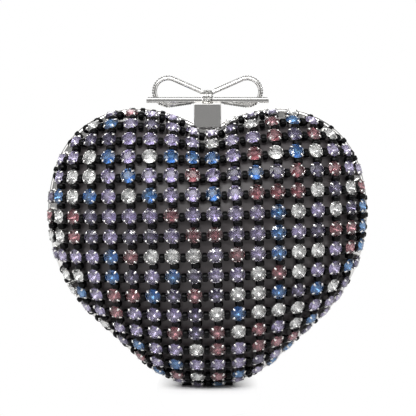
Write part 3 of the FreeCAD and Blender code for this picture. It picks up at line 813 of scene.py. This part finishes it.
@dataclass
class ProngCup:
    """Silver cup with four claws, the stone's girdle centre at the origin."""

    base_radius: float = 0.0023
    cup_radius: float = 0.00340
    lip: float = 0.00008
    base_drop: float = 0.00305
    flare_drop: float = 0.0004
    lip_drop: float = 0.00018
    seat_drop: float = 0.0002
    bowl_depth: float = 0.0024
    bowl_share: float = 0.12
    sides: int = 16
    claw_radius: float = 0.00040
    claw_sides: int = 6
    claw_foot: float = 0.00035
    claw_lean: float = 0.00012
    claw_top: float = 0.00092
    tip_reach: float = 0.00280
    tip_radius: float = 0.00052
    claw_sink: float = 0.4
    knee_share: float = 0.45
    tip_taper: float = 0.92
    cap_rise: float = 0.45
    cap_taper: float = 0.5

    def build(self, name: str) -> Object:
        """Models the cup and its claws and joins them.

        Args:
            name: the model's name.

        Returns:
            The model.
        """
        cup = self.cup(name)
        claws = [self.claw(2 * math.pi * k / PRONG_COUNT) for k in range(PRONG_COUNT)]
        focus(cup)
        for claw in claws:
            claw.select_set(True)
        bpy.ops.object.join()
        return cup

    def cup(self, name: str) -> Object:
        """Flared cup with a lip and a shallow bowl."""
        rise = self.base_drop - self.flare_drop
        middle = -self.base_drop + rise / 2
        cup = cylinder(name, self.sides, self.base_radius, rise, (0, 0, middle))
        edit_top(cup)
        flare = self.cup_radius / self.base_radius
        bpy.ops.transform.resize(value=(flare, flare, 1))
        climb = self.flare_drop - self.lip_drop
        extrude((0, 0, climb))
        bpy.ops.mesh.inset(thickness=self.lip)
        extrude((0, 0, -self.seat_drop))
        extrude((0, 0, -self.bowl_depth))
        bpy.ops.transform.resize(value=(self.bowl_share, self.bowl_share, 1))
        close()
        return cup

    def claw(self, angle: float) -> Object:
        """One claw that climbs the cup's side and rounds over the stone's edge."""
        out = Vector((math.cos(angle), math.sin(angle), 0.0))
        sunk = self.cup_radius - self.claw_radius * self.claw_sink
        foot = out * sunk - Vector((0, 0, self.flare_drop))
        claw = cylinder("claw", self.claw_sides, self.claw_radius, self.claw_foot, foot)
        edit_top(claw)
        lean = self.cup_radius - self.claw_lean
        knee = out * lean + Vector((0, 0, self.claw_top * self.knee_share))
        tip = out * self.tip_reach + Vector((0, 0, self.claw_top))
        cap = tip + Vector((0, 0, self.tip_radius * self.cap_rise))
        swell = self.tip_radius / self.claw_radius
        here = foot + Vector((0, 0, self.claw_foot / 2))
        for there, grow in ((knee, swell), (tip, self.tip_taper), (cap, self.cap_taper)):
            extrude(there - here)
            bpy.ops.transform.resize(value=(grow, grow, 1), center_override=there)
            here = there
        close()
        return claw


@dataclass
class Rondelle:
    """Short barrel bead with its hole along Z."""

    radius: float = 0.0021
    hole_radius: float = 0.00055
    length: float = 0.0024
    round_off: float = 0.0006
    around: int = 12
    round_steps: int = 2

    def build(self, name: str) -> Object:
        """Models the bead.

        Args:
            name: the model's name.

        Returns:
            The model.
        """
        bead = cylinder(name, self.around, self.radius, self.length, (0, 0, 0))
        edit(bead)
        pick_faces(bead, lambda normal: abs(normal.z) > FACING_UP)
        bpy.ops.mesh.region_to_loop()
        bpy.ops.mesh.bevel(offset=self.round_off, segments=self.round_steps)
        pick_faces(bead, lambda normal: abs(normal.z) > LEVEL)
        bpy.ops.mesh.inset(thickness=self.radius - self.round_off - self.hole_radius)
        bpy.ops.mesh.bridge_edge_loops()
        close()
        return bead


@dataclass
class TwistedThread:
    """Short two-ply thread along Z."""

    radius: float = 0.0003
    length: float = 0.0027
    sides: int = 6
    turns_deg: float = 50.0
    widths: tuple[float, float] = (0.75, 1.34)

    def build(self, name: str) -> Object:
        """Models the thread.

        Args:
            name: the model's name.

        Returns:
            The model.
        """
        step = self.length / (len(self.widths) + 1)
        thread = cylinder(name, self.sides, self.radius, step, (0, 0, -step))
        edit_top(thread)
        for width in self.widths:
            extrude((0, 0, step))
            bpy.ops.transform.resize(value=(width, 1, 1))
            bpy.ops.transform.rotate(
                value=math.radians(self.turns_deg), orient_axis="Z", center_override=(0, 0, 0))
        close()
        return thread


@dataclass
class PaveCrystal:
    """Small crystal of the bow, base centre at the origin."""

    radius: float = 0.0005
    table_radius: float = 0.0003
    height: float = 0.00035
    sides: int = 8
    girdle_share: float = 1 / 3
    crown_share: float = 0.45
    crown_swell: float = 1.12
    table_share: float = 0.22

    def build(self, name: str) -> Object:
        """Models the crystal.

        Args:
            name: the model's name.

        Returns:
            The model.
        """
        girdle = self.height * self.girdle_share
        crystal = cylinder(name, self.sides, self.radius, girdle, (0, 0, girdle / 2))
        edit_top(crystal)
        extrude((0, 0, self.height * self.crown_share))
        share = (self.radius + self.table_radius) / (2 * self.radius) * self.crown_swell
        bpy.ops.transform.resize(value=(share, share, 1))
        bpy.ops.transform.rotate(
            value=math.pi / self.sides, orient_axis="Z", center_override=(0, 0, 0))
        extrude((0, 0, self.height * self.table_share))
        share = self.table_radius / (self.radius * share)
        bpy.ops.transform.resize(value=(share, share, 1))
        close()
        return crystal


@dataclass
class StoneNet:
    """Beaded net of one half: stones, cups, rondelles and threads."""

    side: Side
    reader: FrameReader
    finishes: list[StoneFinish]
    silver: Material
    bead: Material
    thread: Material
    tip_reach: float = 0.00275
    tip_lift: float = 0.0009

    def node(self, name: str) -> str:
        """Name of one of this half's nodes."""
        return f"{self.side.value}_{name}"

    def build(self) -> None:
        """Makes every piece of the net."""
        stones = self.set_stones()
        self.set_cups(stones)
        self.string_beads()

    def set_stones(self) -> list[Spot]:
        """Cuts the stones of each colour into their places.

        Returns:
            All stones' spots, turned to their prongs.
        """
        prong_nodes = [self.node("settings"), self.node("base_settings")]
        found: list[Spot] = []
        for index, finish in enumerate(self.finishes):
            node = self.node(f"stones_{finish.colour.value}")
            spots = self.reader.prong_turned(
                self.reader.spots(node), prong_nodes, self.tip_reach, self.tip_lift)
            model = CutStone().build("stone_model")
            model.data.materials.append(finish.glass_material())
            model.data.materials.append(finish.foil_material())
            tones = np.random.default_rng(RNG_SEED + index)
            piece = stamp(self.node(f"{finish.colour.value}_cut_stones"), model, spots, tones)
            bpy.data.objects.remove(model)
            hand_over(piece, self.side.value, f"stone_{finish.colour.value}", node)
            found += spots
        return found

    def set_cups(self, stones: list[Spot]) -> None:
        """Puts a cup under every stone, the standing ones in a piece of their own."""
        centres = np.array([spot.centre for spot in stones])
        standing = set()
        for points in self.reader.islands(self.node("base_settings")):
            gap = np.linalg.norm(centres - points.mean(axis=0), axis=1)
            standing.add(int(np.argmin(gap)))
        model = ProngCup().build("cup_model")
        model.data.materials.append(self.silver)
        upper = [spot for k, spot in enumerate(stones) if k not in standing]
        lower = [stones[k] for k in sorted(standing)]
        groups = (("silver_cups", upper, "settings"), ("standing_cups", lower, "base_settings"))
        for name, spots, node in groups:
            piece = stamp(self.node(name), model, spots)
            smooth(piece, CREASE_DEG)
            hand_over(piece, self.side.value, "setting_silver", self.node(node))
        bpy.data.objects.remove(model)

    def string_beads(self) -> None:
        """Strings the rondelles on their threads."""
        beads = {f"{line}_beads": f"{line}_rondelles" for line in BEAD_LINES}
        threads = {"net_thread": "twisted_threads"}
        self.spread(Rondelle().build("rondelle_model"), self.bead, "black_bead", beads)
        self.spread(TwistedThread().build("thread_model"), self.thread, "thread", threads)

    def spread(self, model: Object, material: Material, slot: str, names: dict[str, str]) -> None:
        """Copies a model to the places of some nodes and removes it.

        Args:
            model: the shape.
            material: its finish.
            slot: the material slot's name.
            names: the new piece's name for each node.
        """
        model.data.materials.append(material)
        for node, name in names.items():
            piece = stamp(self.node(name), model, self.reader.spots(self.node(node)))
            smooth(piece, ROUND_DEG)
            hand_over(piece, self.side.value, slot, self.node(node))
        bpy.data.objects.remove(model)


@dataclass(frozen=True)
class Layer:
    """One layer of cloth: its piece, its node, its slot and how it lies."""

    piece: str
    node: str
    slot: str
    thickness: float
    outside: bool


@dataclass
class ClothHalf:
    """Satin outside and lining inside of one half."""

    side: Side
    nodes: dict[str, Object]
    satin: Material
    lining: Material
    cover: Layer = Layer("satin", "satin_cover", "satin", 0.00045, True)
    inner: Layer = Layer("lining_cloth", "lining", "lining", 0.0006, False)
    around: int = 160
    rings: int = 96
    centre_z: float = 0.069
    edge_inset: float = 0.00012
    blank_radius: float = 0.14
    pucker: float = 0.00014
    pucker_count: int = 46
    pucker_start: float = 0.72
    pucker_mean: float = 0.5
    pucker_swing: float = 0.31
    slow_share: float = 0.6
    slow_rate: float = 0.43
    slow_phase: float = 1.3

    def build(self) -> None:
        """Makes the cover and the lining."""
        self.lay(self.cover, self.satin)
        self.lay(self.inner, self.lining)

    def blank(self, name: str, rim_y: float) -> tuple[Object, Vector]:
        """Half ball of cloth before it is pressed on.

        Args:
            name: the piece's name.
            rim_y: where its edge lies.

        Returns:
            The half ball and its centre.
        """
        centre = Vector((0.0, rim_y, self.centre_z))
        bpy.ops.mesh.primitive_uv_sphere_add(
            segments=self.around, ring_count=self.rings, radius=self.blank_radius,
            location=centre, rotation=(math.pi / 2, 0, 0))
        cloth = start(name)
        close()
        edit(cloth, "SELECT")
        bpy.ops.mesh.bisect(
            plane_co=centre, plane_no=(0, -self.side.outward, 0), clear_outer=True, threshold=WELD)
        close()
        return cloth, centre

    def press(
        self, cloth: Object, node: str, centre: Vector, from_outside: bool,
    ) -> None:
        """Presses each corner of a cloth straight on to a node's face.

        Args:
            cloth: the half ball.
            node: what it is pressed on to.
            centre: the middle that it is pressed towards or away from.
            from_outside: whether it comes from outside.
        """
        tree = BVHTree.FromObject(self.nodes[node], bpy.context.evaluated_depsgraph_get())
        for corner in cloth.data.vertices:
            way = (corner.co - centre).normalized()
            if from_outside:
                hit = tree.ray_cast(centre + way * self.blank_radius, -way)[0]
            else:
                hit = tree.ray_cast(centre, way)[0]
            if hit is None:
                hit = tree.find_nearest(corner.co)[0]
            fold = self.fold_at(way)
            corner.co = hit - way * fold if from_outside else hit + way * fold

    def fold_at(self, way: Vector) -> float:
        """Depth of the small pulled folds that run in from the edge."""
        flatness = 1.0 - abs(way.y)
        share = max(0.0, (flatness - self.pucker_start) / (1.0 - self.pucker_start))
        turn = math.atan2(way.x, -way.z)
        quick = turn * self.pucker_count
        slow = math.sin(quick * self.slow_rate + self.slow_phase)
        ripple = math.sin(quick) + self.slow_share * slow
        return self.pucker * share * (self.pucker_mean + self.pucker_swing * ripple)

    def lay(self, layer: Layer, material: Material) -> None:
        """Args:
            layer: which one.
            material: its finish.
        """
        node = f"{self.side.value}_{layer.node}"
        low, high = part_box(node)
        edge = high.y if self.side is Side.FRONT else low.y
        edge += self.side.outward * self.edge_inset
        cloth, centre = self.blank(f"{self.side.value}_{layer.piece}", edge)
        self.press(cloth, node, centre, layer.outside)
        if not layer.outside:
            edit(cloth, "SELECT")
            bpy.ops.mesh.flip_normals()
            close()
        solid = cloth.modifiers.new("thickness", "SOLIDIFY")
        solid.thickness = layer.thickness
        solid.offset = -1.0
        focus(cloth)
        bpy.ops.object.modifier_apply(modifier=solid.name)
        smooth(cloth, CREASE_DEG)
        cloth.data.materials.append(material)
        hand_over(cloth, self.side.value, layer.slot, node)


@dataclass
class Bow:
    """Crystals of the bow on the clasp."""

    reader: FrameReader
    crystal: Material

    def build(self) -> None:
        """Sets the crystals on the loops, the tails and the knot."""
        for index, place in enumerate(("loop", "tail", "knot")):
            node = f"bow_{place}_crystals"
            model = PaveCrystal().build("crystal_model")
            model.data.materials.append(self.crystal)
            tones = np.random.default_rng(RNG_SEED * 2 + index)
            piece = stamp(f"bow_{place}_pave", model, self.reader.spots(node), tones)
            bpy.data.objects.remove(model)
            hand_over(piece, "clasp", "crystal", node)


# Studio

@dataclass(frozen=True)
class SoftBox:
    """One rectangular studio lamp."""

    name: str
    place: Point
    width: float
    height: float
    watts: float

    def hang(self, target: Vector) -> None:
        """Hangs the lamp, facing a point."""
        data = bpy.data.lights.new(self.name, "AREA")
        data.shape = "RECTANGLE"
        data.size = self.width
        data.size_y = self.height
        data.energy = self.watts
        lamp = bpy.data.objects.new(self.name, data)
        bpy.context.scene.collection.objects.link(lamp)
        lamp.location = self.place
        lamp.rotation_mode = "QUATERNION"
        lamp.rotation_quaternion = (target - Vector(self.place)).to_track_quat("-Z", "Y")


@dataclass
class Studio:
    """Floor, lamps, surroundings and camera."""

    target: Vector
    distance: float = 0.9
    elevation_deg: float = 3.0
    lens: float = 166.7
    sensor: float = 36.0
    floor_size: float = 3.0
    shadow_reach: Point = (0.024, 0.10, 1.0)
    shadow_core: float = 0.5
    room_strength: float = 0.14
    card_strength: float = 0.12
    card_power: float = 14.0
    floor_shown: Colour = (1.25, 1.25, 1.25)
    floor_albedo: Colour = (0.82, 0.82, 0.82)
    floor_dull: Colour = (0.74, 0.74, 0.74)
    mottle_scale: float = 8.0
    mottle_share: float = 0.1
    rear_share: float = 0.3
    rear_power: float = 2.0
    dip_reach: float = 0.12
    dip_share: float = 0.04
    dip_samples: int = 16
    boxes: tuple[SoftBox, ...] = (
        SoftBox("key_box", (-0.10, -0.76, 0.76), 1.3, 0.60, 8.8),
        SoftBox("glint_box", (-0.18, -0.80, 0.62), 0.14, 0.14, 1.2),
        SoftBox("overhead_box", (0.0, 0.05, 1.0), 0.7, 0.5, 0.6),
        SoftBox("left_strip", (-0.85, -0.35, 0.48), 0.9, 0.9, 2.5),
        SoftBox("right_strip", (0.85, -0.35, 0.48), 0.9, 0.9, 2.5),
        SoftBox("rear_box", (0.0, 0.85, 0.6), 0.8, 0.5, 3.0),
    )

    def build(self) -> None:
        """Sets up the studio."""
        bpy.context.scene.view_settings.view_transform = "Standard"
        self.camera()
        self.floor()
        self.surroundings()
        for box in self.boxes:
            box.hang(self.target)

    def camera(self) -> None:
        """Places the camera at the photograph's viewing angle."""
        data = bpy.data.cameras.new("camera")
        data.lens = self.lens
        data.sensor_width = self.sensor
        camera = bpy.data.objects.new("camera", data)
        bpy.context.scene.collection.objects.link(camera)
        tilt = math.radians(self.elevation_deg)
        back = Vector((0, -math.cos(tilt), math.sin(tilt)))
        camera.location = self.target + back * self.distance
        camera.rotation_mode = "QUATERNION"
        camera.rotation_quaternion = (-back).to_track_quat("-Z", "Y")
        bpy.context.scene.camera = camera

    def floor(self) -> None:
        """Pale floor that keeps the shadow and gives way inside a half that dips through it."""
        bpy.ops.mesh.primitive_plane_add(size=self.floor_size, location=(0, 0, 0))
        floor = start("floor")
        paint = Paint.material("pale_floor")
        rays = paint.add("ShaderNodeLightPath")
        mottle = paint.noise(self.mottle_scale)
        pale = paint.mix(mottle * self.mottle_share, self.floor_albedo, self.floor_dull)
        matt = paint.add("ShaderNodeBsdfDiffuse", None, {"Color": pale})
        white = paint.add("ShaderNodeBsdfDiffuse", None, {"Color": (*self.floor_shown, 1.0)})
        glow = paint.add("ShaderNodeEmission", None, {"Strength": 1.0})
        place = {0: paint.place(), 1: self.shadow_reach}
        spread = paint.add("ShaderNodeVectorMath", {"operation": "DIVIDE"}, place)
        length = {0: paint.out(spread)}
        reach = paint.add("ShaderNodeVectorMath", {"operation": "LENGTH"}, length)
        past = paint.out(reach, "Value") - self.shadow_core
        away = paint.maths("DIVIDE", past, 1.0 - self.shadow_core, True)
        shown = paint.blend(away, white, glow)
        both = paint.blend(paint.out(rays, "Is Camera Ray"), matt, shown)
        settings = {"inside": True, "samples": self.dip_samples}
        below = paint.add("ShaderNodeAmbientOcclusion", settings, {"Distance": self.dip_reach})
        filled = paint.maths("LESS_THAN", paint.out(below, "AO"), self.dip_share)
        parted = paint.blend(filled, both, paint.add("ShaderNodeBsdfTransparent"))
        paint.add("ShaderNodeOutputMaterial", None, {"Surface": paint.out(parted)})
        floor.data.materials.append(paint.owner)
        floor.visible_shadow = False

    def surroundings(self) -> None:
        """White to the camera, a soft room with a dim front side to everything else."""
        world = bpy.data.worlds.new("studio")
        bpy.context.scene.world = world
        paint = Paint(world)
        rays = paint.add("ShaderNodeLightPath")
        sky = paint.out(paint.add("ShaderNodeTexCoord"), "Generated")
        depth = paint.out(paint.add("ShaderNodeSeparateXYZ", None, {0: sky}), "Y")
        behind = paint.maths("ADD", depth * 0.5, 0.5, True)
        glossy, through = (paint.out(rays, f"Is {kind} Ray") for kind in ("Glossy", "Transmission"))
        mirror = paint.maths("MAXIMUM", glossy, through)
        rear = mirror * self.rear_share * behind ** self.rear_power
        white = paint.maths("MAXIMUM", paint.out(rays, "Is Camera Ray"), rear)
        facing = paint.maths("MAXIMUM", depth * -1.0, 0.0)
        level = facing ** self.card_power * self.card_strength + self.room_strength
        room, clear = (
            paint.add("ShaderNodeBackground", None, {"Color": WHITE, "Strength": strength})
            for strength in (level, 1.0))
        both = paint.blend(white, room, clear)
        paint.add("ShaderNodeOutputWorld", None, {"Surface": paint.out(both)})


# This purse

STONES = [
    StoneFinish(StoneColour.LAVENDER, (0.95, 0.93, 0.98), (0.61, 0.565, 0.75), (0.225, 0.195, 0.3)),
    StoneFinish(StoneColour.TANZANITE, (0.9, 0.89, 0.95), (0.3, 0.275, 0.385), (0.056, 0.05, 0.08)),
    StoneFinish(StoneColour.CLEAR, (0.99, 0.99, 0.99), (0.97, 0.97, 0.96), (0.46, 0.465, 0.465)),
    StoneFinish(StoneColour.BLUE, (0.88, 0.94, 1.00), (0.22, 0.40, 0.68), (0.05, 0.125, 0.27)),
    StoneFinish(StoneColour.ROSE, (0.97, 0.90, 0.91), (0.52, 0.295, 0.32), (0.185, 0.088, 0.10)),
]
SETTING_SILVER = SilverFinish("setting_silver", roughness=0.09)
POLISHED_SILVER = SilverFinish("polished_silver")
SPRING_STEEL = SilverFinish("spring_steel", (0.62, 0.62, 0.62), (0.40, 0.40, 0.40), 0.2, 0.2)
BLACK_NICKEL = SilverFinish("black_nickel", (0.045, 0.045, 0.047), (0.02, 0.02, 0.021), 0.22, 0.2)
GREY_SATIN = SatinFinish("grey_satin", (0.080, 0.069, 0.072), (0.050, 0.043, 0.046))
LINING_SATIN = SatinFinish("lining_satin", (0.060, 0.052, 0.056), (0.032, 0.028, 0.030))
POLISHED_NODES = (
    "front_frame", "rear_frame", "clasp_cap", "bow_knot", "bow_left_loop", "bow_right_loop",
    "bow_left_tail", "bow_right_tail",
)
BEAD_LINES = ("row", "column", "rim")
STEEL_NODES = ("clasp_bracket", "clasp_pin", "catch_spring")
HINGE_NODES = ("front_hinge_leaf", "rear_hinge_leaf", "hinge_pin")
SHELL_NODES = ("front_shell", "rear_shell")
CAMERA_TARGET = Vector((0.0002, 0.0, 0.0834))


def main() -> None:
    """Builds every sub-assembly in order."""
    logging.basicConfig(level=logging.INFO, format="%(name)s %(message)s")
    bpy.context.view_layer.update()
    nodes = frame["nodes"]
    reader = FrameReader(nodes)
    silver = SETTING_SILVER.material()
    bead = BeadFinish().material()
    thread = ThreadFinish().material()
    satin = GREY_SATIN.material()
    lining = LINING_SATIN.material()
    for side in Side:
        StoneNet(side, reader, STONES, silver, bead, thread).build()
        ClothHalf(side, nodes, satin, lining).build()
    Bow(reader, CrystalFinish().material()).build()
    dress(nodes, POLISHED_NODES, POLISHED_SILVER.material())
    dress(nodes, STEEL_NODES, SPRING_STEEL.material())
    dress(nodes, HINGE_NODES, BLACK_NICKEL.material())
    dress(nodes, SHELL_NODES, ResinFinish().material())
    Studio(CAMERA_TARGET).build()


if __name__ == "__main__":
    main()
